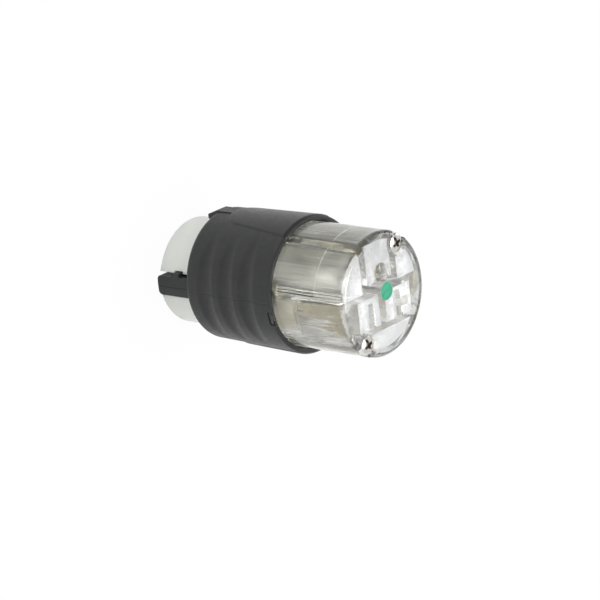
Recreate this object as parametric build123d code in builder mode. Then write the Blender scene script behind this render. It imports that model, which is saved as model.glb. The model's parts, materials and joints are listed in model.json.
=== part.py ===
"""Straight blade cord connector: a clear front body, a black rear housing and white cord-clamp jaws."""

import os
from math import cos, radians, sin

from build123d import *

os.makedirs("parts", exist_ok=True)

# Heights on the axis: the cord end stands at z = 0 and the mating face is on top
length = 73.4
rim_z = 46.7
lip_z = 12.4

# Clearances
fit = 0.3
slip = 0.05

# Clear front body
face_r = 19.0
face_edge = 1.8
face_t = 2.6
ring_t = 2.6
ring_rear_t = 2.0
ring_step = 12.1
spigot_inset = 0.8
spigot_depth = 1.5
body_depth = 7.3

# Openings of the face: two blades and a ground pin, in the standard pattern
blade_x = 6.35
blade_y = 4.9
ground_drop = 11.9
slot_w = 2.2
slot_lead = 0.35
line_slot = 7.4
neutral_slot = 8.2
neutral_leg = 4.6
ground_r = 2.7
ground_flat = 2.45

# Hollow rooms behind the face
ground_room_half = 5.6
ground_room_edge = -4.2
blade_room_low = -0.2
blade_room_high = 9.2
line_room_in = 1.4
line_room_out = 11.0
neutral_room_in = 1.5
neutral_room_out = 13.2
pocket_x = 8.2
pocket_y = -2.2
far_pocket_y = 10.9
terminal_room_rise = 5.9
terminal_room_gap = 1.0
terminal_room_low = -4.8
window_half = 4.5

# Green marker dot
dot_spot = (-1.5, -0.6)
dot_r = 2.7
dot_t = 0.6

# Assembly screws, on a line turned from the ground direction
screw_at = (56.0, 236.0)
screw_inset = 3.2
screw_r = 1.95
head_r = 3.1
head_t = 2.3
head_edge = 0.8
recess_depth = 2.6
boss_gap = 1.0
drive_w = 0.9
drive_l = 3.4
drive_depth = 1.2
drive_turn = 20.0
insert_r = 3.0
insert_l = 8.0
insert_wall = 1.2

# Contacts and their terminals: angle of each terminal round the axis
strip_t = 0.8
contact_below = 1.2
contact_rise = 7.1
pinch_share = 0.65
leaf_open = 2.0
leaf_pinch = 1.25
line_half = 3.2
neutral_half = 4.0
cross_gap = 1.2
ground_half = 3.4
ground_pinch = 3.0
plate_inset = 8.8
plate_half = 4.3
plate_foot = 1.0
plate_lap = 1.0
plate_gap = 1.5
tail_step = 4.5
wire_gap = 1.2
clamp_t = 1.0
clamp_gap = 0.83
clamp_h = 6.6
terminal_drop = 2.9
term_screw_r = 1.75
term_screw_tip = 2.2
term_head_r = 3.3
term_head_t = 2.2
term_slot = 1.0
terminals = {"line": 0.0, "neutral": 180.0, "ground": 270.0}

# Contact retainer
retainer_t = 3.0
post_in = 2.2
post_out = 1.1
post_half = 2.8
ground_post_half = 4.2
ground_post_gap = 0.2
wire_slot_w = 4.0
wire_slot_l = 8.0
wire_slot_r = 1.6

# Black rear housing
rim_wall = 1.5
taper = 0.9
rim_edge = 0.4
shoulder = 2.0
lip_wall = 2.15
lip_t = 3.0
pad_rise = 0.3
pad_half = 10.8
pad_end_half = 8.0
pad_end_z = 18.6
pad_edge = 0.2
wave_z = (20.6, 28.8, 37.0)
wave_depth = 0.7
wave_cut_r = 6.0
wave_fade = 1.9
key_at = 13.0
key_w = 4.4
key_depth = 1.6
key_root = 1.0

# Tabs at the cord end: two broad ones between the jaws, two short ones that lean in over them
side_tab_inset = 1.4
side_tab_t = 3.4
side_tab_low = -3.3
side_tab_high = 2.8
side_tab_end = 0.5
side_tab_corner = 1.2
tooth_z = 6.2
tooth_w = 2.7
tooth_h = 1.1
short_tab_w = 4.6
short_tab_drop = 3.0
short_tab_t = 1.65
short_tab_lean = 1.15
short_tab_rise = 0.25
short_tab_bend = 0.45
short_tab_root = 7.5

# White cord-clamp jaws
jaw_l = 21.9
jaw_end = 0.4
front_jaw_shift = 1.85
front_jaw_edge = 4.0
rear_jaw_shift = 0.95
rear_jaw_edge = 3.1
cord_r = 6.5
grip_z = (4.0, 9.0, 14.0)
grip_w = 2.5
grip_depth = 0.6

# Sizes that follow from the ones above
roof_z = length - face_t
ring_in = face_r - ring_t
ring_rear_in = face_r - ring_rear_t
step_z = length - ring_step
body_z = rim_z - body_depth
spigot_r = face_r - spigot_inset
spigot_z = rim_z - spigot_depth
retainer_z = body_z - retainer_t
terminal_room_z = rim_z + terminal_room_rise
term_z = rim_z - terminal_drop
ground_y = blade_y - ground_drop
contact_top = roof_z - contact_below
contact_foot = rim_z + contact_rise
contact_pinch = contact_foot + pinch_share * (contact_top - contact_foot)
plate_in = face_r - plate_inset
plate_out = plate_in + strip_t
plate_top = contact_foot - tail_step - plate_gap
clamp_in = plate_out + wire_gap
clamp_out = clamp_in + clamp_t
term_screw_in = plate_in - term_screw_tip
terminal_room_in = term_screw_in - terminal_room_gap
screw_ring = face_r - screw_inset
screw_spots = [(screw_ring * cos(radians(a)), screw_ring * sin(radians(a))) for a in screw_at]
boss_r = screw_spots[0][1] - blade_y - line_half - boss_gap
clamp_w = 2 * (abs(screw_spots[1][0]) - boss_r - clamp_gap)
insert_z = retainer_z - insert_l
bore_r = face_r + fit
room_r = spigot_r + fit
rim_r = bore_r + rim_wall
tail_r = rim_r - taper
lip_r = tail_r - lip_wall
side_tab_r = tail_r - side_tab_inset
jaw_r = lip_r - fit
jaw_flange_r = room_r - fit


def outward(angle):
    """The direction out from the axis at an angle."""
    return Vector(cos(radians(angle)), sin(radians(angle)), 0)


def turned(angle, z):
    """A level plane at height z whose X axis points out at the given angle."""
    return Plane(origin=(0, 0, z), x_dir=outward(angle), z_dir=(0, 0, 1))


def facing(angle, r):
    """An upright plane at the terminal height, facing outward at radius r."""
    return Plane(origin=outward(angle) * r + Vector(0, 0, term_z), x_dir=(0, 0, 1), z_dir=outward(angle))


def field(x0, x1, y0, y1):
    """A rectangle between two x values and two y values."""
    with Locations(((x0 + x1) / 2, (y0 + y1) / 2)):
        Rectangle(x1 - x0, y1 - y0)


def rooms(limit):
    """Three contact rooms and three pockets, inside a circle and clear of the screw bosses."""
    field(-ground_room_half, ground_room_half, -face_r, ground_room_edge)
    field(line_room_in, line_room_out, blade_room_low, blade_room_high)
    field(-neutral_room_out, -neutral_room_in, blade_room_low, blade_room_high)
    field(pocket_x, face_r, -face_r, pocket_y)
    field(-face_r, -pocket_x, -face_r, pocket_y)
    field(-face_r, face_r, far_pocket_y, face_r)
    Circle(limit, mode=Mode.INTERSECT)
    with Locations(*screw_spots):
        Circle(boss_r, mode=Mode.SUBTRACT)


def leaves(side):
    """Two strips that pinch a blade, joined at the foot, and the tail that steps out to the terminal."""
    with BuildLine() as leaf:
        Polyline(
            (side * (blade_x - leaf_open), contact_top),
            (side * (blade_x - leaf_pinch), contact_pinch),
            (side * (blade_x - leaf_open), contact_foot),
            (side * (blade_x + leaf_open), contact_foot),
            (side * (blade_x + leaf_pinch), contact_pinch),
            (side * (blade_x + leaf_open), contact_top),
        )
    trace(leaf.edges(), line_width=strip_t)
    with BuildLine() as tail:
        Polyline(
            (side * (blade_x + leaf_open), contact_foot),
            (side * (blade_x + leaf_open), contact_foot - tail_step / 2),
            (side * (plate_in + strip_t / 2), contact_foot - tail_step),
            (side * (plate_in + strip_t / 2), plate_top - plate_lap),
        )
    trace(tail.edges(), line_width=strip_t)


def plate(high):
    """A terminal plate with the hole of its screw."""
    field(-plate_half, high, body_z + plate_foot, plate_top)
    with Locations((0, term_z)):
        Circle(term_screw_r + slip, mode=Mode.SUBTRACT)


def save(piece, name):
    """Name the piece and write its file."""
    piece.part.label = name
    export_step(piece.part, "parts/" + name + ".step")


# Front body: the rooms are open to the rear and closed by the face, and the ring is thinner behind a step
with BuildPart() as front_body:
    with BuildSketch(Plane.XY.offset(body_z)):
        Circle(spigot_r)
    extrude(amount=spigot_z - body_z)
    with BuildSketch(Plane.XY.offset(spigot_z)):
        Circle(face_r)
    extrude(amount=length - spigot_z)
    fillet(front_body.edges().group_by(Axis.Z)[-1], face_edge)
    with BuildSketch(Plane.XY.offset(body_z)):
        rooms(ring_in)
    extrude(amount=roof_z - body_z, mode=Mode.SUBTRACT)
    with BuildSketch(Plane.XY.offset(body_z)):
        rooms(ring_rear_in)
    extrude(amount=step_z - body_z, mode=Mode.SUBTRACT)
    # Terminal rooms at the rear, with a window to each terminal screw
    with BuildSketch(Plane.XY.offset(body_z)):
        field(terminal_room_in, face_r, terminal_room_low, blade_room_high)
        field(-face_r, -terminal_room_in, terminal_room_low, blade_room_high)
        Circle(ring_rear_in, mode=Mode.INTERSECT)
    extrude(amount=terminal_room_z - body_z, mode=Mode.SUBTRACT)
    for angle in terminals.values():
        with BuildSketch(turned(angle, body_z)):
            field(ring_in, face_r, -window_half, window_half)
        extrude(amount=spigot_z - body_z, mode=Mode.SUBTRACT)
    # Blade and ground openings
    with BuildSketch(Plane.XY.offset(roof_z)):
        with Locations((blade_x, blade_y)):
            Rectangle(slot_w, line_slot)
        with Locations((-blade_x, blade_y)):
            Rectangle(slot_w, neutral_slot)
        field(-blade_x - neutral_leg, -blade_x, blade_y - slot_w / 2, blade_y + slot_w / 2)
        with Locations((0, ground_y)):
            Circle(ground_r)
        field(-ground_r, ground_r, ground_y, ground_y + ground_flat)
    extrude(amount=face_t, mode=Mode.SUBTRACT)
    for mouth in front_body.faces().sort_by(Axis.Z)[-1].inner_wires():
        chamfer(mouth.edges(), slot_lead)
    # Screw holes, with recesses that are open at the side
    with BuildSketch(Plane.XY.offset(body_z)):
        with Locations(*screw_spots):
            Circle(screw_r + fit)
    extrude(amount=length - body_z, mode=Mode.SUBTRACT)
    for angle in screw_at:
        with BuildSketch(turned(angle, length - recess_depth)):
            with Locations((screw_ring, 0)):
                Circle(head_r + fit)
            field(screw_ring, face_r + fit, -head_r - fit, head_r + fit)
        extrude(amount=recess_depth, mode=Mode.SUBTRACT)
    # Pocket of the marker dot
    with BuildSketch(Plane.XY.offset(length - dot_t)):
        with Locations(dot_spot):
            Circle(dot_r + slip)
    extrude(amount=dot_t, mode=Mode.SUBTRACT)
    # Key that stands in the notch of the housing's rim
    with BuildSketch(turned(key_at, rim_z - key_depth + fit)):
        field(face_r - key_root, rim_r - fit, -key_w / 2 + fit, key_w / 2 - fit)
    extrude(amount=key_depth - 2 * fit)
save(front_body, "front_body")

# Green marker dot, let into the face
with BuildPart() as green_dot:
    with BuildSketch(Plane.XY.offset(length - dot_t)):
        with Locations(dot_spot):
            Circle(dot_r)
    extrude(amount=dot_t - slip)
save(green_dot, "green_dot")

# Line contact, folded from one brass strip
with BuildPart() as line_contact:
    with BuildSketch(Plane.XZ.offset(-blade_y)):
        leaves(1)
    extrude(amount=line_half, both=True)
    with BuildSketch(Plane.YZ.offset(plate_in)):
        plate(blade_y + line_half)
    extrude(amount=strip_t)
save(line_contact, "line_contact")

# Neutral contact: the outer leaf is parted, with lugs that pinch a blade set crosswise
with BuildPart() as neutral_contact:
    with BuildSketch(Plane.XZ.offset(-blade_y)):
        leaves(-1)
    extrude(amount=neutral_half, both=True)
    with BuildSketch(Plane.XY.offset(contact_foot + 2 * strip_t)):
        field(-plate_out, -blade_x - strip_t / 2, blade_y - cross_gap, blade_y + cross_gap)
    extrude(amount=contact_top - contact_foot, mode=Mode.SUBTRACT)
    with BuildSketch(Plane.XY.offset(contact_foot + 2 * strip_t)):
        lug_x = -blade_x - (neutral_leg + leaf_pinch) / 2
        for side in (1, -1):
            with Locations((lug_x, blade_y + side * (cross_gap + strip_t / 2))):
                Rectangle(neutral_leg - leaf_pinch, strip_t)
    extrude(amount=contact_pinch - contact_foot)
    with BuildSketch(Plane.YZ.offset(-plate_out)):
        plate(blade_y + neutral_half)
    extrude(amount=strip_t)
save(neutral_contact, "neutral_contact")

# Ground contact: a channel round the pin, and a straight back down to the terminal
with BuildPart() as ground_contact:
    with BuildSketch(Plane.XY.offset(contact_foot)):
        with BuildLine():
            Polyline(
                (-ground_half, ground_y + ground_flat - strip_t / 2),
                (-ground_pinch, ground_y),
                (-ground_half, -plate_in - strip_t / 2),
                (ground_half, -plate_in - strip_t / 2),
                (ground_pinch, ground_y),
                (ground_half, ground_y + ground_flat - strip_t / 2),
            )
        trace(line_width=strip_t)
    extrude(amount=contact_top - contact_foot)
    with BuildSketch(Plane.XZ.offset(plate_in)):
        plate(plate_half)
        field(-ground_pinch, ground_pinch, plate_top - plate_lap, contact_foot + plate_lap)
    extrude(amount=strip_t)
save(ground_contact, "ground_contact")

# A clamp plate and a slotted screw on each terminal
for name, angle in terminals.items():
    with BuildPart() as clamp_plate:
        with BuildSketch(facing(angle, clamp_in)):
            Rectangle(clamp_h, clamp_w)
            Circle(term_screw_r + fit, mode=Mode.SUBTRACT)
        extrude(amount=clamp_t)
    save(clamp_plate, name + "_clamp_plate")
    with BuildPart() as terminal_screw:
        with BuildSketch(facing(angle, clamp_out)):
            Circle(term_head_r)
        extrude(amount=term_head_t)
        fillet(terminal_screw.faces().sort_by(Axis((0, 0, 0), outward(angle)))[-1].edges(), term_head_t / 4)
        with BuildSketch(facing(angle, clamp_out)):
            Circle(term_screw_r)
        extrude(amount=term_screw_in - clamp_out)
        with BuildSketch(facing(angle, clamp_out + term_head_t - term_slot)):
            Rectangle(term_slot, 3 * term_head_r)
        extrude(amount=2 * term_slot, mode=Mode.SUBTRACT)
    save(terminal_screw, name + "_terminal_screw")

# Contact retainer: closes the rooms, with posts up to the contacts and slots for the wires
with BuildPart() as contact_retainer:
    with BuildSketch(Plane.XY.offset(retainer_z)):
        Circle(spigot_r)
        with Locations(*screw_spots):
            Circle(screw_r + fit, mode=Mode.SUBTRACT)
    extrude(amount=retainer_t - slip)
    with BuildSketch(Plane.XY.offset(retainer_z)):
        field(blade_x - post_in, blade_x + post_out, blade_y - post_half, blade_y + post_half)
        field(-blade_x - post_out, -blade_x + post_in, blade_y - post_half, blade_y + post_half)
    extrude(amount=contact_foot - strip_t / 2 - slip - retainer_z)
    with BuildSketch(Plane.XY.offset(retainer_z)):
        field(-ground_post_half, ground_post_half, ground_post_gap - term_screw_in, ground_y + ground_flat)
    extrude(amount=contact_foot - slip - retainer_z)
    for angle in terminals.values():
        with BuildSketch(turned(angle, retainer_z)):
            with Locations((clamp_in + strip_t / 2, 0)):
                RectangleRounded(wire_slot_w, wire_slot_l, wire_slot_r)
        extrude(amount=retainer_t, mode=Mode.SUBTRACT)
save(contact_retainer, "contact_retainer")

# Raised label pads on the two faces of the housing, with rounded rear ends
with BuildPart() as pads:
    with BuildSketch(Plane.XZ):
        with BuildLine():
            left = (-pad_end_half, pad_end_z + pad_end_half)
            right = (pad_end_half, pad_end_z + pad_end_half)
            Polyline(left, (-pad_half, rim_z), (pad_half, rim_z), right)
            ThreePointArc(right, (0, pad_end_z), left)
        make_face()
    extrude(amount=2 * rim_r, both=True)
    with BuildSketch(Plane.XZ):
        with BuildLine():
            Polyline(
                (bore_r + slip, lip_z),
                (tail_r + pad_rise, lip_z),
                (rim_r + pad_rise, rim_z),
                (bore_r + slip, rim_z),
                close=True,
            )
        make_face()
    revolve(axis=Axis.Z, mode=Mode.INTERSECT)
    for outer in (pads.faces().sort_by(Axis.Y)[0], pads.faces().sort_by(Axis.Y)[-1]):
        chamfer(outer.edges(), pad_edge)

# Broad side tabs between the jaws, each with a tooth on one edge
with BuildPart() as side_tabs:
    with BuildSketch(Plane.YZ):
        field(side_tab_low, side_tab_high, side_tab_end, lip_z + lip_t)
        fillet(vertices().group_by(Axis.Y)[0], side_tab_corner)
        field(side_tab_low - tooth_h, side_tab_low + tooth_h, tooth_z, tooth_z + tooth_w)
    extrude(amount=tail_r, both=True)
    with BuildSketch(Plane.XY):
        Circle(side_tab_r)
        Circle(side_tab_r - side_tab_t, mode=Mode.SUBTRACT)
    extrude(amount=lip_z + lip_t, mode=Mode.INTERSECT)

# Rear housing: a hollow tapered grip
with BuildPart() as rear_housing:
    with BuildSketch(Plane.XZ):
        with BuildLine():
            Polyline(
                (lip_r, lip_z),
                (tail_r, lip_z),
                (rim_r, rim_z),
                (bore_r, rim_z),
                (bore_r, spigot_z - slip),
                (room_r, spigot_z - slip),
                (room_r, lip_z + lip_t),
                (lip_r, lip_z + lip_t),
                close=True,
            )
        make_face()
    revolve(axis=Axis.Z)
    fillet(rear_housing.edges().group_by(Axis.Z)[0].sort_by(SortBy.RADIUS)[-1], shoulder)
    fillet(rear_housing.edges().group_by(Axis.Z)[-1].sort_by(SortBy.RADIUS)[-1], rim_edge)
    # Wave grips on the two sides, fading out towards the pads
    for side in (1, -1):
        for z in wave_z:
            surface_r = tail_r + taper * (z - lip_z) / (rim_z - lip_z)
            with BuildSketch(Plane.XZ):
                with Locations((side * (surface_r + wave_cut_r - wave_depth), z)):
                    Circle(wave_cut_r)
            revolve(axis=Axis((-side * wave_fade, 0, 0), (0, 0, 1)), mode=Mode.SUBTRACT)
    add(pads.part)
    add(side_tabs.part)
    # Short tabs that lean in over the jaws
    with BuildSketch(Plane.YZ):
        for side in (1, -1):
            tip_r = tail_r - short_tab_lean
            with BuildLine():
                Polyline(
                    (side * (tail_r + short_tab_rise), lip_z + short_tab_root),
                    (side * (tail_r + short_tab_rise), lip_z + short_tab_bend),
                    (side * tip_r, lip_z - short_tab_drop),
                    (side * (tip_r - short_tab_t), lip_z - short_tab_drop),
                    (side * (lip_r + fit), lip_z + short_tab_bend),
                    (side * (room_r + fit), lip_z + short_tab_root),
                    close=True,
                )
            make_face()
    extrude(amount=short_tab_w / 2, both=True)
    # Bosses for the threaded inserts
    with BuildSketch(Plane.XY.offset(insert_z - insert_wall)):
        with Locations(*screw_spots):
            Circle(insert_r + insert_wall)
    extrude(amount=insert_l + insert_wall)
    with BuildSketch(Plane.XY.offset(insert_z)):
        with Locations(*screw_spots):
            Circle(insert_r + slip)
    extrude(amount=insert_l, mode=Mode.SUBTRACT)
    # Notch in the rim for the key of the front body
    with BuildSketch(turned(key_at, rim_z - key_depth)):
        field(face_r - key_root, rim_r + 2 * pad_rise, -key_w / 2, key_w / 2)
    extrude(amount=key_depth, mode=Mode.SUBTRACT)
save(rear_housing, "rear_housing")

# Cord jaws: part rings round the cord, with a flange inside the housing
for name, side, shift, edge in (
    ("front_cord_jaw", -1, front_jaw_shift, front_jaw_edge),
    ("rear_cord_jaw", 1, rear_jaw_shift, rear_jaw_edge),
):
    with BuildPart() as jaw:
        with BuildSketch(Plane.XY):
            with Locations((0, -side * shift)):
                Circle(jaw_r)
        extrude(amount=lip_z + lip_t + fit)
        fillet(jaw.edges().group_by(Axis.Z)[0], jaw_end)
        with BuildSketch(Plane.XY.offset(lip_z + lip_t + fit)):
            Circle(jaw_flange_r)
        extrude(amount=jaw_l - lip_z - lip_t - fit)
        # Only the part beyond the side tabs is kept
        with BuildSketch(Plane.XY):
            with Locations((0, side * (edge + jaw_r))):
                Rectangle(4 * jaw_r, 2 * jaw_r)
        extrude(amount=jaw_l, mode=Mode.INTERSECT)
        # Groove for the teeth of the side tabs
        with BuildSketch(Plane.YZ):
            field(side_tab_low - tooth_h - fit, side_tab_low, tooth_z - fit, tooth_z + tooth_w + fit)
        extrude(amount=2 * jaw_r, both=True, mode=Mode.SUBTRACT)
        # Cord passage with grip rings
        with BuildSketch(Plane.XY):
            Circle(cord_r)
        extrude(amount=jaw_l, mode=Mode.SUBTRACT)
        for z in grip_z:
            with BuildSketch(Plane.XY.offset(z)):
                Circle(cord_r + grip_depth)
            extrude(amount=grip_w, mode=Mode.SUBTRACT)
    save(jaw, name)

# Assembly screws with a cross and a slot in each head
with BuildPart() as assembly_screws:
    with BuildSketch(Plane.XY.offset(length - recess_depth)):
        with Locations(*screw_spots):
            Circle(head_r)
    extrude(amount=head_t)
    fillet(assembly_screws.edges().group_by(Axis.Z)[-1], head_edge)
    with BuildSketch(Plane.XY.offset(insert_z + fit)):
        with Locations(*screw_spots):
            Circle(screw_r)
    extrude(amount=length - recess_depth - insert_z - fit)
    with BuildSketch(Plane.XY.offset(length - recess_depth + head_t - drive_depth)):
        with Locations(*screw_spots):
            Rectangle(drive_w, 3 * head_r, rotation=drive_turn)
            Rectangle(drive_l, drive_w, rotation=drive_turn)
    extrude(amount=2 * drive_depth, mode=Mode.SUBTRACT)
save(assembly_screws, "assembly_screws")

# Threaded inserts in the bosses of the housing
with BuildPart() as thread_inserts:
    with BuildSketch(Plane.XY.offset(insert_z + slip)):
        with Locations(*screw_spots):
            Circle(insert_r)
            Circle(screw_r + slip, mode=Mode.SUBTRACT)
    extrude(amount=insert_l - 2 * slip)
save(thread_inserts, "thread_inserts")
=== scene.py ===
"""Straight blade cord connector on its cord end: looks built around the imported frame."""

import json
from math import atan2, ceil, cos, hypot, pi, radians, sin, sqrt, tan

import bmesh
import bpy
from mathutils import Matrix, Vector

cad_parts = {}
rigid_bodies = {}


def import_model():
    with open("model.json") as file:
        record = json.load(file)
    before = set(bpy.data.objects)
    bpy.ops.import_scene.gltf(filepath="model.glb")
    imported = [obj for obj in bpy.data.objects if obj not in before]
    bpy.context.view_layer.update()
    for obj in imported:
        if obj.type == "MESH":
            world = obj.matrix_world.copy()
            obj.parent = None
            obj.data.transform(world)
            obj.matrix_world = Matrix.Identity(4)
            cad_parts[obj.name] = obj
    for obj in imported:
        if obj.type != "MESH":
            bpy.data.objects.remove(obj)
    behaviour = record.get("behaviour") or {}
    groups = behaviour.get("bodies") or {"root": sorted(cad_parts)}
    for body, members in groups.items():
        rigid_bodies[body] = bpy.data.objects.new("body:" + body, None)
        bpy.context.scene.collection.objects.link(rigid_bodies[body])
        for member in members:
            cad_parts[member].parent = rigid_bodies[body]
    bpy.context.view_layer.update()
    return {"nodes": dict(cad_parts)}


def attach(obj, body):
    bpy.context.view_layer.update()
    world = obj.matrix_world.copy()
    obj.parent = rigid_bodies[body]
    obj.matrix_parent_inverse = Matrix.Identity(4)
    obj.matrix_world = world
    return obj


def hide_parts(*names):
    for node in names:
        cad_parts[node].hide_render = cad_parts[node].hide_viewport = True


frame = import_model()

# Rear housing: the grip that the hand holds and that the cord end is clamped in.
# One moulding in black nylon with a fine satin texture; its long screws pull the clear body against it.
# The wall is a section spun round the axis; wave grips, label pads and the parting line are pressed into its flank.
mm = 0.001
lip_z, lip_top, spigot_z, rim_z = 12.4, 15.4, 45.15, 46.7
lip_r, tail_r, rim_r = 17.75, 19.9, 20.8
room_r, bore_r = 18.5, 19.3
mid_wall_r = (bore_r + tail_r) / 2
lip_edge, shoulder, rim_edge, bore_edge = 0.3, 2.0, 0.5, 0.25
flank_step, arc_step = 0.22, 0.2
relief_low, relief_low_ramp = 1.6, 1.2
relief_high, relief_high_ramp = 0.35, 0.48
seam_depth = 0.12
weld = 0.0005 * mm


def rounded(corners, fine_corner=None):
    """Points of a closed section: each corner is (x, z, radius); the run after fine_corner is divided finely."""
    arcs = []
    for i, (x, z, radius) in enumerate(corners):
        here = Vector((x, z))
        back = (Vector(corners[i - 1][:2]) - here).normalized()
        on = (Vector(corners[(i + 1) % len(corners)][:2]) - here).normalized()
        if radius == 0:
            arcs.append([here])
            continue
        half = back.angle(on) / 2
        centre = here + (back + on).normalized() * (radius / sin(half))
        start, end = here + back * (radius / tan(half)), here + on * (radius / tan(half))
        first = atan2(start.y - centre.y, start.x - centre.x)
        sweep = (atan2(end.y - centre.y, end.x - centre.x) - first + pi) % (2 * pi) - pi
        steps = max(4, ceil(abs(sweep) * radius / arc_step))
        angles = [first + sweep * n / steps for n in range(steps + 1)]
        arcs.append([centre + radius * Vector((cos(a), sin(a))) for a in angles])
    outline = []
    for i, arc in enumerate(arcs):
        outline += arc
        run = arcs[(i + 1) % len(arcs)][0] - arc[-1]
        parts = ceil(run.length / flank_step) if i == fine_corner else 1
        outline += [arc[-1] + run * (n / parts) for n in range(1, parts)]
    return outline


def flank(r, z):
    """1 on the outer flank of the wall, 0 elsewhere and at the flank's two ends."""
    if r < mid_wall_r:
        return 0.0
    low = (z - lip_z - relief_low) / relief_low_ramp
    high = (rim_z - relief_high - z) / relief_high_ramp
    return max(0.0, min(1.0, low, high))


wall_section = rounded(
    [
        (lip_r, lip_z, lip_edge), (tail_r, lip_z, shoulder), (rim_r, rim_z, rim_edge), (bore_r, rim_z, bore_edge),
        (bore_r, spigot_z, 0), (room_r, spigot_z, 0), (room_r, lip_top, 0), (lip_r, lip_top, 0),
    ],
    fine_corner=1,
)
section_mesh = bpy.data.meshes.new("wall_section")
section_mesh.from_pydata([(p.x * mm, 0, p.y * mm) for p in wall_section], [], [])
section_mesh.attributes.new("flank", "FLOAT", "POINT").data.foreach_set(
    "value", [flank(p.x, p.y) for p in wall_section]
)


def new_object(name, data):
    """An object at the origin, in the scene."""
    made = bpy.data.objects.new(name, data)
    bpy.context.scene.collection.objects.link(made)
    return made


def add_node(tree, kind, sockets=(), **settings):
    """A node in a tree with its settings; sockets are values or links, by name or number."""
    made = tree.nodes.new(kind)
    for key, value in settings.items():
        setattr(made, key, value)
    for key, value in dict(sockets).items():
        if isinstance(value, bpy.types.NodeSocket):
            tree.links.new(value, made.inputs[key])
        else:
            made.inputs[key].default_value = value
    return made


class Tree:
    """A Geometry Nodes tree under construction, with its inputs by name."""

    def __init__(self, name, inputs):
        self.group = bpy.data.node_groups.new(name, "GeometryNodeTree")
        self.ids = {}
        face = self.group.interface
        face.new_socket(name="Geometry", in_out="INPUT", socket_type="NodeSocketGeometry")
        for label, kind in inputs.items():
            socket = face.new_socket(name=label, in_out="INPUT", socket_type="NodeSocket" + kind)
            self.ids[label] = socket.identifier
        face.new_socket(name="Geometry", in_out="OUTPUT", socket_type="NodeSocketGeometry")
        self.given = self.node("NodeGroupInput").outputs

    def node(self, kind, sockets=(), **settings):
        return add_node(self.group, kind, sockets, **settings)

    def math(self, operation, *values):
        """The result of one Math node."""
        return self.node("ShaderNodeMath", enumerate(values), operation=operation).outputs[0]

    def close(self, geometry):
        """Realize instances, set the given material and end the tree."""
        real = self.node("GeometryNodeRealizeInstances", {"Geometry": geometry})
        dressed = self.node(
            "GeometryNodeSetMaterial", {"Geometry": real.outputs[0], "Material": self.given["Material"]}
        )
        self.node("NodeGroupOutput", {0: dressed.outputs[0]})

    def grow(self, base, values):
        """The plain mesh that the tree makes of a base object with these input values; the base is used up."""
        made = base.modifiers.new("tree", "NODES")
        made.node_group = self.group
        for label, value in values.items():
            made[self.ids[label]] = value
        base.update_tag()
        graph = bpy.context.evaluated_depsgraph_get()
        mesh = bpy.data.meshes.new_from_object(base.evaluated_get(graph), depsgraph=graph)
        bpy.data.objects.remove(base)
        return mesh


grip = Tree(
    "grip_wall",
    {
        "Facets": "Int", "Trough Depth": "Float", "Trough Pitch": "Float", "First Trough": "Float",
        "Last Trough": "Int", "Trough Radius": "Float", "Trough Fade": "Float", "Crest Softness": "Float",
        "Pad Rise": "Float", "Pad End": "Float", "Pad End Half": "Float", "Pad Front Half": "Float",
        "Pad Front": "Float", "Pad Edge": "Float", "Seam Depth": "Float", "Seam Half": "Float", "Weld": "Float",
        "Material": "Material",
    },
)
given, calc = grip.given, grip.math
count = grip.node("GeometryNodeAttributeDomainSize", {0: given["Geometry"]}).outputs["Point Count"]
around = calc("ADD", given["Facets"], 1)
grid = grip.node("GeometryNodeMeshGrid", {"Vertices X": calc("ADD", count, 1), "Vertices Y": around})
index = grip.node("GeometryNodeInputIndex").outputs[0]
along = calc("FLOOR", calc("DIVIDE", calc("ADD", index, 0.5), around))
turn = calc("SUBTRACT", index, calc("MULTIPLY", along, around))
along = calc("FLOORED_MODULO", along, count)
place = grip.node(
    "GeometryNodeSampleIndex",
    {"Geometry": given["Geometry"], "Value": grip.node("GeometryNodeInputPosition").outputs[0], "Index": along},
    data_type="FLOAT_VECTOR",
)
outer = grip.node("GeometryNodeInputNamedAttribute", {"Name": "flank"}, data_type="FLOAT")
mask = grip.node(
    "GeometryNodeSampleIndex",
    {"Geometry": given["Geometry"], "Value": outer.outputs[0], "Index": along},
    data_type="FLOAT",
).outputs[0]
at = grip.node("ShaderNodeSeparateXYZ", {0: place.outputs[0]}).outputs
angle = calc("MULTIPLY", calc("DIVIDE", turn, given["Facets"]), 2 * pi)
east, north = calc("COSINE", angle), calc("SINE", angle)
# Troughs of the wave grip: part of a ring cut at each height, fading out away from the two sides
rank = calc("ROUND", calc("DIVIDE", calc("SUBTRACT", at["Z"], given["First Trough"]), given["Trough Pitch"]))
rank = calc("MINIMUM", calc("MAXIMUM", rank, 0.0), given["Last Trough"])
offset = calc("SUBTRACT", at["Z"], calc("MULTIPLY_ADD", rank, given["Trough Pitch"], given["First Trough"]))
chord = calc("SUBTRACT", calc("POWER", given["Trough Radius"], 2), calc("POWER", offset, 2))
sag = calc("SUBTRACT", given["Trough Radius"], calc("SQRT", calc("MAXIMUM", chord, 0.0)))
fading = calc("MULTIPLY", given["Trough Fade"], calc("SUBTRACT", 1.0, calc("ABSOLUTE", east)))
trough = calc("SUBTRACT", calc("SUBTRACT", given["Trough Depth"], sag), fading)
trough = calc("SMOOTH_MAX", trough, 0.0, given["Crest Softness"])
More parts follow.
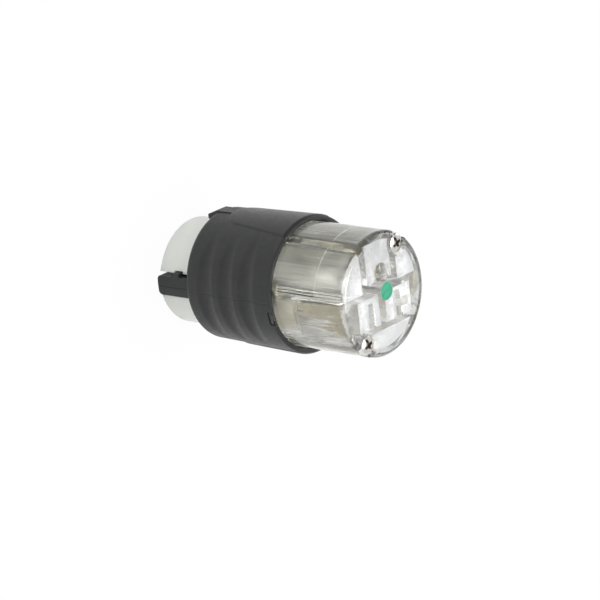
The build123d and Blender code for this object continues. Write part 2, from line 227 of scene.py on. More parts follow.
# Label pads on the two faces, with a round rear end
aside = calc("ABSOLUTE", calc("MULTIPLY", at["X"], east))
above = calc("SUBTRACT", at["Z"], given["Pad End"])
pad_share = calc("DIVIDE", above, calc("SUBTRACT", given["Pad Front"], given["Pad End"]))
widening = calc("MULTIPLY", pad_share, calc("SUBTRACT", given["Pad Front Half"], given["Pad End Half"]))
beside = calc("SUBTRACT", calc("SUBTRACT", aside, widening), given["Pad End Half"])
round_end = calc("SQRT", calc("ADD", calc("POWER", aside, 2), calc("POWER", above, 2)))
round_end = calc("SUBTRACT", round_end, given["Pad End Half"])
straight = calc("GREATER_THAN", above, 0.0)
bent = calc("SUBTRACT", 1.0, straight)
outside = calc("ADD", calc("MULTIPLY", straight, beside), calc("MULTIPLY", bent, round_end))
pad = grip.node(
    "ShaderNodeMapRange",
    {
        "Value": outside, "From Min": calc("MULTIPLY", given["Pad Edge"], -1.0), "From Max": 0.0,
        "To Min": given["Pad Rise"], "To Max": 0.0,
    },
    interpolation_type="SMOOTHSTEP",
).outputs[0]
# Parting line of the mould on the two sides
parting = calc("LESS_THAN", calc("ABSOLUTE", north), given["Seam Half"])
parting = calc("MULTIPLY", parting, given["Seam Depth"])
relief = calc("SUBTRACT", calc("SUBTRACT", pad, trough), parting)
radius = calc("MULTIPLY_ADD", relief, mask, at["X"])
spot = grip.node(
    "ShaderNodeCombineXYZ",
    {"X": calc("MULTIPLY", radius, east), "Y": calc("MULTIPLY", radius, north), "Z": at["Z"]},
)
wall = grip.node("GeometryNodeSetPosition", {"Geometry": grid.outputs[0], "Position": spot.outputs[0]})
wall = grip.node("GeometryNodeMergeByDistance", {"Geometry": wall.outputs[0], "Distance": given["Weld"]})
grip.close(wall.outputs[0])


class Finish:
    """A procedural material on one Principled shader; patterns lie on object coordinates, in metres."""

    def __init__(self, name, **values):
        self.material = bpy.data.materials.new(name)
        self.material.use_nodes = True
        self.tree = self.material.node_tree
        self.shader = self.tree.nodes["Principled BSDF"]
        for key, value in values.items():
            self.shader.inputs[key.replace("_", " ")].default_value = value
        self.place = self.node("ShaderNodeTexCoord").outputs["Object"]

    def node(self, kind, sockets=(), **settings):
        return add_node(self.tree, kind, sockets, **settings)

    def math(self, operation, *values):
        """The result of one Math node."""
        return self.node("ShaderNodeMath", enumerate(values), operation=operation).outputs[0]

    def noise(self, size, detail=3.0, stretch=(1, 1, 1)):
        """A noise whose grains are about size across."""
        placed = self.node("ShaderNodeMapping", {"Vector": self.place, "Scale": stretch})
        sockets = {"Vector": placed.outputs[0], "Scale": 1 / size, "Detail": detail, "Roughness": 0.55}
        return self.node("ShaderNodeTexNoise", sockets).outputs["Fac"]

    def spread(self, value, low, high, bottom=0.3, top=0.7):
        """The value's range from bottom to top, spread between low and high."""
        sockets = {"Value": value, "From Min": bottom, "From Max": top, "To Min": low, "To Max": high}
        return self.node("ShaderNodeMapRange", sockets).outputs[0]

    def feed(self, name, link):
        """Link a result to an input of the shader."""
        self.tree.links.new(link, self.shader.inputs[name])

    def show(self, shader):
        """Make a shader node the material's surface."""
        self.tree.links.new(shader.outputs[0], self.tree.nodes["Material Output"].inputs["Surface"])

    def colour(self, share, first, second):
        """Base colour between two tints."""
        tints = {"Factor": share, "A": (*first, 1), "B": (*second, 1)}
        self.feed("Base Color", self.node("ShaderNodeMix", tints, data_type="RGBA").outputs["Result"])

    def mottle(self, size, detail, first, second):
        """Base colour that drifts between two tints in patches."""
        self.colour(self.spread(self.noise(size, detail), 0, 1), first, second)

    def roughness(self, value, low, high):
        self.feed("Roughness", self.spread(value, low, high))

    def bump(self, value, depth, strength):
        """A relief of the given depth."""
        relief_node = self.node("ShaderNodeBump", {"Height": value, "Distance": depth, "Strength": strength})
        self.feed("Normal", relief_node.outputs[0])


black = Finish("black_satin_nylon", Specular_IOR_Level=0.36)
black.mottle(3.5 * mm, 4.0, (0.020, 0.021, 0.021), (0.027, 0.028, 0.027))
black.roughness(black.noise(1.1 * mm, 4.0), 0.36, 0.50)
black.bump(black.noise(0.16 * mm, 2.0), 0.012 * mm, 0.6)
smooth_black = Finish("smooth_black_nylon", Specular_IOR_Level=0.4)
smooth_black.mottle(3.5 * mm, 4.0, (0.011, 0.012, 0.012), (0.016, 0.017, 0.016))
smooth_black.roughness(smooth_black.noise(1.1 * mm, 4.0), 0.30, 0.42)
smooth_black.bump(smooth_black.noise(0.2 * mm, 2.0), 0.008 * mm, 0.5)

housing_mesh = grip.grow(
    new_object("shell_section", section_mesh),
    {
        "Facets": 480, "Trough Depth": 0.7 * mm, "Trough Pitch": 8.2 * mm, "First Trough": 20.6 * mm,
        "Last Trough": 2, "Trough Radius": 6.0 * mm, "Trough Fade": 1.9 * mm, "Crest Softness": 0.5 * mm,
        "Pad Rise": 0.3 * mm, "Pad End": 26.6 * mm, "Pad End Half": 8.0 * mm, "Pad Front Half": 10.8 * mm,
        "Pad Front": rim_z * mm, "Pad Edge": 0.45 * mm, "Seam Depth": seam_depth * mm, "Seam Half": 0.001,
        "Weld": weld, "Material": black.material,
    },
)
housing = new_object("grip_housing", housing_mesh)


def prism(outline, plane, low, high):
    """A solid between two levels of a plane; the outline's points are in mm in that plane."""
    made = bmesh.new()
    ends = [[made.verts.new(plane(a, b, level) * mm) for a, b in outline] for level in (low, high)]
    made.faces.new(ends[0])
    made.faces.new(ends[1])
    for i in range(len(outline)):
        made.faces.new((ends[0][i - 1], ends[0][i], ends[1][i], ends[1][i - 1]))
    bmesh.ops.recalc_face_normals(made, faces=made.faces)
    return made


def circle(made, r, z, facets):
    """A ring of vertices round the axis, in mm."""
    angles = [2 * pi * n / facets for n in range(facets)]
    return [made.verts.new(Vector((r * cos(a), r * sin(a), z)) * mm) for a in angles]


def tube(inner, outer_r, low, high, facets=240):
    """A round tube standing on the axis, sizes in mm."""
    made = bmesh.new()
    corners = ((inner, low), (outer_r, low), (outer_r, high), (inner, high))
    loops = [circle(made, r, z, facets) for r, z in corners]
    for i in range(len(loops)):
        for n in range(facets):
            made.faces.new((loops[i - 1][n - 1], loops[i - 1][n], loops[i][n], loops[i][n - 1]))
    bmesh.ops.recalc_face_normals(made, faces=made.faces)
    return made


def solid(name, *makes):
    """One object from several closed bmesh solids that don't touch."""
    mesh = bpy.data.meshes.new(name)
    whole = bmesh.new()
    for make in makes:
        make.to_mesh(mesh)
        whole.from_mesh(mesh)
        make.free()
    whole.to_mesh(mesh)
    whole.free()
    return new_object(name, mesh)


def carved(base, *steps):
    """Join, cut or cross the base object with other solids, which are used up."""
    for operation, other in steps:
        made = base.modifiers.new(operation.lower(), "BOOLEAN")
        made.operation, made.object, made.solver = operation, other, "MANIFOLD"
    graph = bpy.context.evaluated_depsgraph_get()
    mesh = bpy.data.meshes.new_from_object(base.evaluated_get(graph), depsgraph=graph)
    base.modifiers.clear()
    base.data = mesh
    for _, other in steps:
        bpy.data.objects.remove(other)


def softened(piece, degrees):
    """Smooth shading, with edges sharper than an angle kept crisp."""
    piece.data.shade_smooth()
    piece.data.set_sharp_from_angle(angle=radians(degrees))


def across_x(a, b, level):
    """A point of the plane square to X at a level."""
    return Vector((level, a, b))


def turned(angle):
    """A level plane whose first axis is turned by an angle."""
    return lambda a, b, z: Vector((a * cos(angle) - b * sin(angle), a * sin(angle) + b * cos(angle), z))


def on_both_sides(outline, low, high):
    """A prism of the outline on each of the two sides of the connector, between two distances from its middle."""
    return [prism(outline, across_x, *sorted((side * low, side * high))) for side in (1, -1)]


# Tabs at the cord end: two broad ones with a tooth between the jaws, two short ones that lean in over them
side_tab_in, side_tab_r, side_tab_top = 15.1, 18.5, 15.2
tab_low, tab_high, tab_end, tab_corner = -3.3, 2.8, 0.5, 1.2
tooth_h, tooth_low, tooth_high, tooth_root, tooth_edge = 1.1, 6.2, 8.9, 0.15, 0.25
cut_in, cut_out, cut_top = 10, 22, 20
tab_outline = [(p.x, p.y) for p in rounded(
    [
        (tab_low, tab_end, tab_corner), (tab_high, tab_end, tab_corner), (tab_high, side_tab_top, 0),
        (tab_low, side_tab_top, 0), (tab_low, tooth_high, tooth_root), (tab_low - tooth_h, tooth_high, tooth_edge),
        (tab_low - tooth_h, tooth_low, tooth_edge), (tab_low, tooth_low, tooth_root),
    ]
)]
side_tabs = solid("side_tabs", *on_both_sides(tab_outline, cut_in, cut_out))
carved(side_tabs, ("INTERSECT", solid("tab_ring", tube(side_tab_in, side_tab_r, 0, cut_top))))
seam_half, seam_top = 0.09, 12.6
seam_outline = [(-seam_half, 0), (seam_half, 0), (seam_half, seam_top), (-seam_half, seam_top)]
carved(side_tabs, ("DIFFERENCE", solid("seams", *on_both_sides(seam_outline, side_tab_r - seam_depth, cut_out))))
lean_root_z, lean_bend_z, lean_tip_z = 19.9, 12.85, 9.4
lean_outer, lean_bend, lean_edge, short_tab_half = 20.15, 0.8, 0.35, 2.3
tip_outer, tip_inner, bend_inner, root_inner = 18.75, 17.1, 18.05, 18.8
lean = [(p.x, p.y) for p in rounded(
    [
        (lean_outer, lean_root_z, 0), (lean_outer, lean_bend_z, lean_bend), (tip_outer, lean_tip_z, lean_edge),
        (tip_inner, lean_tip_z, lean_edge), (bend_inner, lean_bend_z, 0), (root_inner, lean_root_z, 0),
    ]
)]
leaning = [[(side * a, b) for a, b in lean] for side in (1, -1)]
short_tabs = solid("short_tabs", *[prism(outline, across_x, -short_tab_half, short_tab_half) for outline in leaning])
# Notch in the rim, where the key of the clear body stands
notch_angle, notch_half, notch_in, notch_out, notch_floor, notch_top = radians(13.0), 2.2, 17.5, 23, 45.1, 48
notch_outline = [(notch_in, -notch_half), (notch_out, -notch_half), (notch_out, notch_half), (notch_in, notch_half)]
notch = solid("notch", prism(notch_outline, turned(notch_angle), notch_floor, notch_top))
carved(housing, ("UNION", side_tabs), ("UNION", short_tabs), ("DIFFERENCE", notch))


def dress(piece, slot, *finishes):
    """The finishes of a piece, in order; the slot argument is not used."""
    piece.data.materials.clear()
    for finish in finishes:
        piece.data.materials.append(finish.material)


dress(housing, "black_plastic", black, smooth_black)
pad_low, pad_proud = 18.7, 0.15
for face in housing.data.polygons:
    middle = face.center / mm
    flank_r = tail_r + (rim_r - tail_r) * (middle.z - lip_z) / (rim_z - lip_z)
    on_pad = middle.z > pad_low and hypot(middle.x, middle.y) > flank_r + pad_proud
    face.material_index = 1 if on_pad else 0
softened(housing, 32)
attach(housing, "root")
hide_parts("rear_housing")

# Cord jaws: two part rings of natural white nylon that the side tabs hold apart.
# Moulded pieces with a smooth skin, a little cloudy in the light; they close round the cord as the screws draw in.
nylon = Finish("natural_nylon", Subsurface_Weight=0.25, Subsurface_Scale=0.0015, Specular_IOR_Level=0.4)
nylon.shader.inputs["Subsurface Radius"].default_value = (1.0, 0.9, 0.7)
nylon.mottle(7 * mm, 3.0, (0.83, 0.85, 0.80), (0.87, 0.885, 0.845))
nylon.roughness(nylon.noise(2.5 * mm), 0.34, 0.46)
nylon.bump(nylon.noise(0.35 * mm), 0.01 * mm, 0.4)
crisp_angle = 30


def smooth_copy(name, node):
    """A new piece with the shape of a CAD node, its loose triangles merged and shaded smooth."""
    whole = bmesh.new()
    whole.from_mesh(frame["nodes"][node].data)
    bmesh.ops.remove_doubles(whole, verts=whole.verts, dist=weld)
    mesh = bpy.data.meshes.new(name)
    whole.to_mesh(mesh)
    whole.free()
    made = new_object(name, mesh)
    softened(made, crisp_angle)
    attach(made, "root")
    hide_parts(node)
    return made


for jaw in ("front", "rear"):
    dress(smooth_copy(jaw + "_jaw", jaw + "_cord_jaw"), "white_nylon", nylon)

# Contacts: three folded strips of half-hard brass that pinch the plug's blades.
# They drop into the clear body from behind, and each ends in a plate with a clamp plate and a slotted screw.
brass = Finish("rolled_brass", Metallic=1.0)
brass.mottle(2.4 * mm, 4.0, (0.54, 0.50, 0.405), (0.63, 0.59, 0.48))
brass.roughness(brass.noise(0.5 * mm, 4.0, (1, 1, 0.1)), 0.24, 0.32)
brass.bump(brass.noise(0.12 * mm, 2.0, (1, 1, 0.05)), 0.002 * mm, 0.3)
nickel = Finish("bright_nickel", Metallic=1.0)
nickel.mottle(1.6 * mm, 3.0, (0.72, 0.71, 0.68), (0.82, 0.81, 0.78))
nickel.roughness(nickel.noise(0.6 * mm, 4.0), 0.10, 0.22)
nickel.bump(nickel.noise(0.5 * mm, 3.0), 0.006 * mm, 0.4)
green_dyed = Finish("green_dyed_steel", Metallic=0.6)
green_dyed.mottle(1.2 * mm, 3.0, (0.045, 0.105, 0.078), (0.07, 0.145, 0.11))
green_dyed.roughness(green_dyed.noise(0.7 * mm), 0.25, 0.40)


def redress(finish, *nodes):
    """A better finish on CAD nodes that stay as they are."""
    for node in nodes:
        frame["nodes"][node].data.materials.clear()
        frame["nodes"][node].data.materials.append(finish.material)


redress(brass, "line_contact", "neutral_contact", "ground_contact")
redress(brass, "line_clamp_plate", "line_terminal_screw", "thread_inserts")
redress(nickel, "neutral_clamp_plate", "ground_clamp_plate", "neutral_terminal_screw")
redress(green_dyed, "ground_terminal_screw")

# Contact retainer and front body: clear polycarbonate, polished outside and duller where the mould's cores were.
# The body is moulded with three contact rooms and hollow pockets behind the face.
# The retainer closes the rooms from behind, and the long screws hold both against the housing.
wall_r, face_z, edge_round, step_z = 19.0, 73.4, 1.8, 61.3


def polycarbonate(name, transmission, **values):
    return Finish(name, Transmission_Weight=transmission, IOR=1.585, **values)


def from_axis(finish):
    """Distance from the connector's axis, in metres."""
    flat = finish.node("ShaderNodeVectorMath", {0: finish.place, 1: (1, 1, 0)}, operation="MULTIPLY")
    return finish.node("ShaderNodeVectorMath", {0: flat.outputs[0]}, operation="LENGTH").outputs["Value"]


def falling(finish, axis, start, end):
    """1 up to a place on an axis, falling to 0 at another."""
    return finish.spread(finish.node("ShaderNodeSeparateXYZ", {0: finish.place}).outputs[axis], 1, 0, start, end)


clear = polycarbonate("clear_polycarbonate", 1.0)
clear.mottle(9 * mm, 2.0, (0.66, 0.66, 0.61), (0.71, 0.71, 0.665))
clear.roughness(clear.noise(6 * mm, 3.0), 0.01, 0.05)
# Inside: smoother round the rooms than on the bore of the wall; the bore carries painted shade, darker towards the
# ground opening
satin = polycarbonate("satin_polycarbonate", 1.0)
on_bore = satin.math("GREATER_THAN", from_axis(satin), 16.2 * mm)
painted_shade_toward_ground = falling(satin, "Y", -14 * mm, 7 * mm)
satin.colour(satin.math("MULTIPLY", painted_shade_toward_ground, on_bore), (0.90, 0.895, 0.85), (0.20, 0.196, 0.16))
room_skin = satin.spread(satin.noise(4 * mm, 3.0), 0.16, 0.26)
bore_skin = satin.spread(satin.noise(5 * mm, 3.0, (1, 1, 0.15)), 0.30, 0.42)
skin = satin.node("ShaderNodeMix", {"Factor": on_bore, "A": room_skin, "B": bore_skin}, data_type="FLOAT")
satin.feed("Roughness", skin.outputs["Result"])
# Drawn marks along the axis, from pulling the core out of the mould
satin.bump(satin.noise(2.0 * mm, 2.0, (1, 1, 0.03)), 0.5 * mm, 0.9)
# Face: painted shade, a grey ring over the wall below its edge on the side of the neutral opening
hazed = polycarbonate("hazed_painted_shade_polycarbonate", 0.86)
painted_shade_side = falling(hazed, "X", -10 * mm, 2 * mm)
painted_shade_ring = hazed.spread(from_axis(hazed), 0, 1, 16.3 * mm, 16.8 * mm)
hazed.colour(hazed.math("MULTIPLY", painted_shade_side, painted_shade_ring), (0.825, 0.83, 0.845), (0.15, 0.155, 0.16))
hazed.roughness(hazed.noise(6 * mm, 3.0), 0.02, 0.06)
frosted = polycarbonate("frosted_polycarbonate", 0.26)
frosted.mottle(5 * mm, 3.0, (0.92, 0.925, 0.93), (0.955, 0.96, 0.965))
frosted.roughness(frosted.noise(3 * mm, 3.0), 0.2, 0.35)
# Painted shade: seen along the wall, the rounded edge is painted grey; seen square on, it is as clear as the rest
edge = polycarbonate("edge_painted_shade_polycarbonate", 1.0)
grazing_painted_shade = edge.node("ShaderNodeLayerWeight", {"Blend": 0.5}).outputs["Facing"]
edge.colour(edge.spread(grazing_painted_shade, 0, 1, 0.1, 0.5), (0.86, 0.865, 0.85), (0.25, 0.255, 0.255))
edge.roughness(edge.noise(6 * mm, 3.0), 0.01, 0.05)
# Painted shade: the clear key in the rim's notch is painted nearly black, for the shade in the notch
key_painted_shade = polycarbonate("key_painted_shade_polycarbonate", 0.3, Specular_IOR_Level=0.2)
key_painted_shade.mottle(3 * mm, 2.0, (0.02, 0.024, 0.022), (0.04, 0.045, 0.042))
key_painted_shade.roughness(key_painted_shade.noise(2 * mm, 3.0), 0.05, 0.15)
milky = polycarbonate("milky_polycarbonate", 0.25)
milky.mottle(6 * mm, 3.0, (0.80, 0.81, 0.78), (0.88, 0.885, 0.865))
milky.roughness(milky.noise(3 * mm, 3.0), 0.35, 0.5)


def let_lamps_through(finish, tint):
    """Rays from lamps pass straight through, so that what lies behind the plastic is lit."""
    lamp_side = finish.node("ShaderNodeBsdfTransparent", {"Color": (*tint, 1)})
    lamp_ray = finish.node("ShaderNodeLightPath").outputs["Is Shadow Ray"]
    sides = {0: lamp_ray, 1: finish.shader.outputs[0], 2: lamp_side.outputs[0]}
    finish.show(finish.node("ShaderNodeMixShader", sides))


for finish in (clear, edge, frosted):
    let_lamps_through(finish, (0.80, 0.81, 0.78))
for finish in (satin, hazed):
    let_lamps_through(finish, (0.94, 0.945, 0.93))

dress(smooth_copy("retainer_plate", "contact_retainer"), "clear_plastic", milky)
front = smooth_copy("clear_front_body", "front_body")
# Guide beads along the bore, moulded with the wall; they show through it as bright and dark lines
bead_row = Tree(
    "bead_row",
    {
        "Count": "Int", "First Angle": "Float", "Angle Step": "Float", "Ring Radius": "Float", "Facets": "Int",
        "Bead Radius": "Float", "Low": "Float", "High": "Float", "Material": "Material",
    },
)
given, calc = bead_row.given, bead_row.math
tall = calc("SUBTRACT", given["High"], given["Low"])
rod = bead_row.node(
    "GeometryNodeMeshCylinder", {"Vertices": given["Facets"], "Radius": given["Bead Radius"], "Depth": tall}
)
row = bead_row.node("GeometryNodeMeshLine", {"Count": given["Count"]})
bead_rank = bead_row.node("GeometryNodeInputIndex").outputs[0]
bearing = calc("MULTIPLY_ADD", bead_rank, given["Angle Step"], given["First Angle"])
bead_spot = bead_row.node(
    "ShaderNodeCombineXYZ",
    {
        "X": calc("MULTIPLY", given["Ring Radius"], calc("COSINE", bearing)),
        "Y": calc("MULTIPLY", given["Ring Radius"], calc("SINE", bearing)),
        "Z": calc("MULTIPLY_ADD", tall, 0.5, given["Low"]),
    },
)
row = bead_row.node("GeometryNodeSetPosition", {"Geometry": row.outputs[0], "Position": bead_spot.outputs[0]})
rods = bead_row.node("GeometryNodeInstanceOnPoints", {"Points": row.outputs[0], "Instance": rod.outputs[0]})
bead_row.close(rods.outputs[0])
bead_mesh = bead_row.grow(
    new_object("bead_seed", bpy.data.meshes.new("bead_seed")),
    {
        "Count": 3, "First Angle": radians(-15.2), "Angle Step": radians(2.9), "Ring Radius": 16.75 * mm,
        "Facets": 24, "Bead Radius": 0.65 * mm, "Low": 47.2 * mm, "High": 71.2 * mm, "Material": clear.material,
    },
)
carved(front, ("UNION", new_object("guide_beads", bead_mesh)))
softened(front, crisp_angle)
body_finishes = (clear, satin, hazed, key_painted_shade, frosted, edge)
dress(front, "clear_plastic", *body_finishes)
near, downward, upright = 0.02, -0.9, 0.1
ceiling_depth, opening_depth, openings_r = 3.0, 2.55, 11.5
step_slack, edge_slack, bore_slack, outer_skin = 0.3, 0.05, 0.1, 0.3


def body_finish(face):
    """The finish of one face of the clear body, by its place and direction."""
    middle, up = face.center / mm, face.normal.z
    out, depth = hypot(middle.x, middle.y), face_z - middle.z
    if out > wall_r + near:
        return key_painted_shade
    if depth < near:
        return hazed
    if up < downward and (depth < ceiling_depth or abs(middle.z - step_z) < step_slack):
        return frosted
    if depth < opening_depth and out < openings_r and abs(up) < upright:
        return frosted
    if out > wall_r - edge_round and depth < edge_round - edge_slack and up > near:
        return edge
    if out < wall_r - edge_round - bore_slack or (out < wall_r - outer_skin and depth > edge_round):
        return satin
    return clear


for face in front.data.polygons:
    face.material_index = body_finishes.index(body_finish(face))


def true_normals(mesh):
    """Exact normals on the face, its rounded edge and the round wall, so that reflections run true."""
    slack, flat, steep, agreeing = 0.01, 0.999, 0.05, 0.95
    normals = [(0.0, 0.0, 0.0)] * len(mesh.loops)
    tube_r, tube_z = wall_r - edge_round, face_z - edge_round
    for face in mesh.polygons:
        points = [mesh.vertices[i].co / mm for i in face.vertices]
        radii = [hypot(p.x, p.y) for p in points]
        lowest = min(p.z for p in points)
        if face.normal.z > flat and lowest > face_z - slack:
            exact = [Vector((0, 0, 1))] * len(points)
        elif min(radii) > wall_r - slack and abs(face.normal.z) < steep:
            exact = [Vector((p.x, p.y, 0)).normalized() for p in points]
        elif min(radii) > tube_r - slack and lowest > tube_z - slack:
            shares = [1 - tube_r / r for r in radii]
            exact = [Vector((p.x * share, p.y * share, p.z - tube_z)) for p, share in zip(points, shares)]
            if any(n.length < edge_round - edge_slack or n.normalized().dot(face.normal) < agreeing for n in exact):
                continue
        else:
            continue
        for loop, normal in zip(face.loop_indices, exact):
            normals[loop] = normal.normalized()
    mesh.normals_split_custom_set(normals)


true_normals(front.data)

# Marker dot: a small disc of green plastic pressed into a pocket of the face.
# Its skin has a satin gloss with a fine grain.
green = Finish("green_marker", Specular_IOR_Level=0.4)
green.mottle(1.5 * mm, 3.0, (0.034, 0.314, 0.181), (0.046, 0.378, 0.226))
green.roughness(green.noise(0.6 * mm), 0.36, 0.5)
green.bump(green.noise(0.2 * mm), 0.006 * mm, 0.4)
dress(smooth_copy("marker_dot", "green_dot"), "green_mark", green)

# Assembly screws: two long nickel-plated steel screws with a cross and a slot in the domed head.
# They go through the clear body and the retainer into threaded brass inserts in the housing.
screw_ring, screw_angle, drive_angle = 15.8, radians(56.0), radians(20.0)
shank_r, shank_end, tip_r, tip_l = 1.95, 28.7, 1.65, 0.5
head_r, head_low, head_top = 3.1, 70.8, 73.1
head_round, head_round_z = 0.8, 71.95
bar_top = head_top + 0.5
dome_sag, dome_r = 0.34, 2.3


def dome_z(r):
    """Height of the domed crown at a distance from the screw's axis."""
    return head_top - dome_sag * (r / dome_r) ** 2


def turned_solid(section, facets=96):
    """A solid of revolution on the axis; the section runs from one end of the axis to the other, in mm."""
    made = bmesh.new()
    rows = [circle(made, r, z, facets) if r else [made.verts.new((0, 0, z * mm))] for r, z in section]
    for low, high in zip(rows, rows[1:]):
        for n in range(facets):
            if len(low) == 1:
                made.faces.new((low[0], high[n], high[n - 1]))
            elif len(high) == 1:
                made.faces.new((low[n - 1], low[n], high[0]))
            else:
                made.faces.new((low[n - 1], low[n], high[n], high[n - 1]))
    bmesh.ops.recalc_face_normals(made, faces=made.faces)
    return made


def bar(name, half_long, half_wide, depth):
    """A bar that cuts one arm of the drive."""
    outline = [(-half_long, -half_wide), (half_long, -half_wide), (half_long, half_wide), (-half_long, half_wide)]
    return solid(name, prism(outline, turned(drive_angle), head_top - depth, bar_top))


shank = [(0, shank_end), (tip_r, shank_end), (shank_r, shank_end + tip_l), (shank_r, head_low), (head_r, head_low)]
crown_angles = [radians(a) for a in range(0, 80, 8)]
crown = [(head_r - head_round + head_round * cos(a), head_round_z + head_round * sin(a)) for a in crown_angles]
dome = [(r, dome_z(r)) for r in (2.2, 1.9, 1.6, 1.3, 1.0, 0.7, 0.4, 0.2, 0)]
one_screw = solid("one_screw", turned_solid(shank + crown + dome))
carved(
    one_screw,
    ("DIFFERENCE", bar("slot", 0.45, 4.0, 0.75)),
    ("DIFFERENCE", bar("cross", 1.7, 0.5, 1.2)),
    ("DIFFERENCE", bar("long_cross", 0.5, 1.7, 1.2)),
)
softened(one_screw, 25)
pair = Tree("screw_pair", {"Ring Radius": "Float", "Count": "Int", "First Angle": "Float", "Material": "Material"})
first_spot = pair.node("ShaderNodeCombineXYZ", {"X": pair.given["Ring Radius"]})
span = pair.node("ShaderNodeCombineXYZ", {"X": pair.math("MULTIPLY", pair.given["Ring Radius"], -2.0)})
line = pair.node(
    "GeometryNodeMeshLine",
    {"Count": pair.given["Count"], "Start Location": first_spot.outputs[0], "Offset": span.outputs[0]},
)
turn_z = pair.node("ShaderNodeCombineXYZ", {"Z": pair.given["First Angle"]})
line = pair.node("GeometryNodeTransform", {"Geometry": line.outputs[0], "Rotation": turn_z.outputs[0]})
screws = pair.node("GeometryNodeInstanceOnPoints", {"Points": line.outputs[0], "Instance": pair.given["Geometry"]})
pair.close(screws.outputs[0])
screw_values = {"Ring Radius": screw_ring * mm, "Count": 2, "First Angle": screw_angle, "Material": nickel.material}
long_screws = new_object("long_screws", pair.grow(one_screw, screw_values))
# Painted shade in the drive's recesses: dark brown tones stand in for the shade in the cross and slot, with some of
# the brown tint the real recesses show
worn_and_shaded = Finish("worn_nickel_painted_shade", Metallic=1.0)
worn_and_shaded.mottle(0.8 * mm, 3.0, (0.11, 0.09, 0.07), (0.42, 0.36, 0.29))
worn_and_shaded.roughness(worn_and_shaded.noise(0.5 * mm, 3.0), 0.35, 0.5)
dress(long_screws, "plated_steel", nickel, worn_and_shaded)
# The faces of the drive, which take the painted shade, lie below the dome, inside the rounded edge of the head
drive_floor, below_dome, drive_r = head_low + 0.3, 0.08, 2.25
screw_spots = [Vector((screw_ring * cos(a), screw_ring * sin(a))) for a in (screw_angle, screw_angle + pi)]
for face in long_screws.data.polygons:
    middle = face.center / mm
    inset = min((middle.xy - screw_spot).length for screw_spot in screw_spots)
    in_drive = drive_floor < middle.z < dome_z(inset) - below_dome and inset < drive_r
    face.material_index = 1 if in_drive else 0
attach(long_screws, "root")
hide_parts("assembly_screws")

# Stage: a pale floor, a white surround with two grey cards in it, and four soft lamps.
# The floor shows white to the eye and in glass and metal, and still takes a faint shadow.
scene = bpy.context.scene
scene.view_settings.view_transform = "Standard"
scene.cycles.max_bounces = 24
scene.cycles.transmission_bounces = 24
scene.cycles.glossy_bounces = 8
scene.cycles.transparent_max_bounces = 24
floor_half = 6.0
floor_corners = [(-floor_half, -floor_half, 0), (floor_half, -floor_half, 0)]
floor_corners += [(floor_half, floor_half, 0), (-floor_half, floor_half, 0)]
floor_mesh = bpy.data.meshes.new("floor")
floor_mesh.from_pydata(floor_corners, [], [(0, 1, 2, 3)])
floor = new_object("floor", floor_mesh)
pale = Finish("pale_floor", Roughness=0.9, Specular_IOR_Level=0.0)
pale.mottle(0.4, 2.0, (0.80, 0.80, 0.80), (0.82, 0.82, 0.82))


def seen(tree):
    """1 for rays from the camera, off gloss or through glass."""
    path = add_node(tree, "ShaderNodeLightPath").outputs
    total = path["Is Camera Ray"]
    for ray in ("Is Glossy Ray", "Is Transmission Ray"):
        total = add_node(tree, "ShaderNodeMath", {0: total, 1: path[ray]}, operation="MAXIMUM").outputs[0]
    return total


glow = pale.node("ShaderNodeEmission", {"Color": (1, 1, 1, 1)})
shown = pale.math("MULTIPLY", seen(pale.tree), 0.96)
pale.show(pale.node("ShaderNodeMixShader", {0: shown, 1: pale.shader.outputs[0], 2: glow.outputs[0]}))
floor.data.materials.append(pale.material)

# Camera: the connector's axis runs to the right and a little down, and leans towards the viewer.
# The face centre, the scale there and the distance were fitted to the outlines in the picture.
picture = 600
face_at = (384.0, 294.35)
pixels_per_mm = 3.40
eye_distance = 1300.0
axis_drop, axis_to_eye, axis_roll = radians(8.44), 0.635, radians(23)
axis_flat = sqrt(1 - axis_to_eye**2)
axis = Vector((axis_flat * cos(axis_drop), -axis_flat * sin(axis_drop), axis_to_eye))
side_away = Vector((axis_to_eye * cos(axis_drop), -axis_to_eye * sin(axis_drop), -axis_flat))
side_up = Vector((sin(axis_drop), cos(axis_drop), 0))
line_side = cos(axis_roll) * side_away + sin(axis_roll) * side_up
ground_side = -sin(axis_roll) * side_away + cos(axis_roll) * side_up
to_world = Matrix((-line_side, -ground_side, axis))
eye_right = (picture / 2 - face_at[0]) / pixels_per_mm
eye_up = (face_at[1] - picture / 2) / pixels_per_mm
eye = Vector((0, 0, face_z)) + to_world @ Vector((eye_right, eye_up, eye_distance))
camera = new_object("camera", bpy.data.cameras.new("camera"))
scene.camera = camera
camera.data.sensor_width = 36.0
camera.data.lens = camera.data.sensor_width * pixels_per_mm * eye_distance / picture
camera.data.clip_start, camera.data.clip_end = 0.05, 20.0
camera.matrix_world = Matrix.Translation(eye * mm) @ to_world.to_4x4()

# Surround: white to the camera, dimmed by the cards in glass and metal, and softer as a light
world = bpy.data.worlds.new("surround")
scene.world = world
world.use_nodes = True
sky = world.node_tree


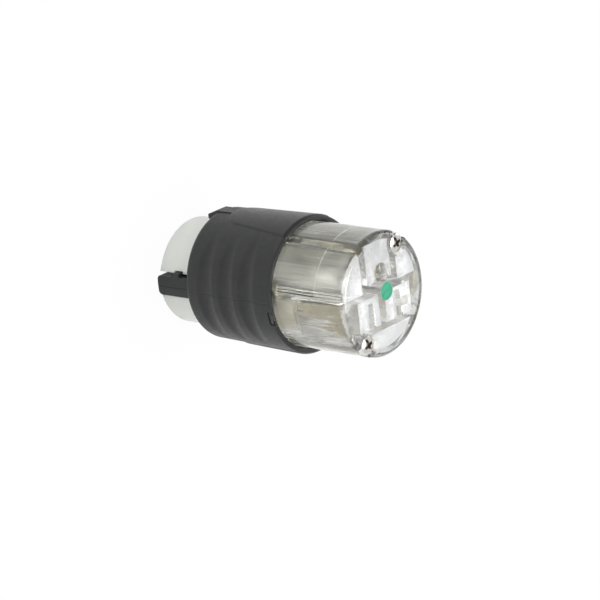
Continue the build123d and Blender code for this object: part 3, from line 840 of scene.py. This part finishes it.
def dimmed(direction, level, start, full):
    """A share that falls from 1 to level towards a direction in the picture, as a grey card there would give."""
    looking = add_node(sky, "ShaderNodeTexCoord").outputs["Generated"]
    card = to_world @ Vector(direction).normalized()
    towards = add_node(sky, "ShaderNodeVectorMath", {0: looking, 1: card}, operation="DOT_PRODUCT")
    fall = {"From Min": start, "From Max": full, "To Min": 1.0, "To Max": level}
    fall["Value"] = towards.outputs["Value"]
    return add_node(sky, "ShaderNodeMapRange", fall, interpolation_type="SMOOTHSTEP").outputs[0]


right_card = dimmed((0.9, 0.1, 0.2), 0.7, 0.35, 0.8)
top_card = dimmed((-0.1, 1.0, 0.2), 0.06, 0.05, 0.65)
cards = add_node(sky, "ShaderNodeMath", {0: right_card, 1: top_card}, operation="MULTIPLY")
to_camera = add_node(sky, "ShaderNodeLightPath").outputs["Is Camera Ray"]
level_seen = add_node(sky, "ShaderNodeMath", {0: to_camera, 1: cards.outputs[0]}, operation="MAXIMUM")
white = add_node(sky, "ShaderNodeBackground", {"Color": (1, 1, 1, 1), "Strength": level_seen.outputs[0]})
lit = sky.nodes["Background"]
lit.inputs["Color"].default_value = (1, 1, 1, 1)
lit.inputs["Strength"].default_value = 0.65
either = add_node(sky, "ShaderNodeMixShader", {0: seen(sky), 1: lit.outputs[0], 2: white.outputs[0]})
sky.links.new(either.outputs[0], sky.nodes["World Output"].inputs["Surface"])
aim = Vector((0, 0, 40)) * mm


def softbox(name, direction, distance, size, power):
    """A square lamp that looks at the connector; direction is in the picture's right, up and near."""
    lamp = bpy.data.lights.new(name, "AREA")
    lamp.shape, lamp.size, lamp.energy = "SQUARE", size, power
    out = (to_world @ Vector(direction)).normalized()
    facing = out.to_track_quat("Z", "Y").to_matrix().to_4x4()
    new_object(name, lamp).matrix_world = Matrix.Translation(aim + out * distance) @ facing


softbox("left_box", (-0.85, 0.3, 0.5), 1.1, 0.5, 8.0)
softbox("right_box", (0.88, -0.12, 0.48), 1.1, 0.5, 7.0)
softbox("near_box", (0.3, 0.1, 1.0), 1.2, 0.25, 2.5)
softbox("rim_box", (0.86, 0.42, -0.3), 1.1, 0.4, 1.5)
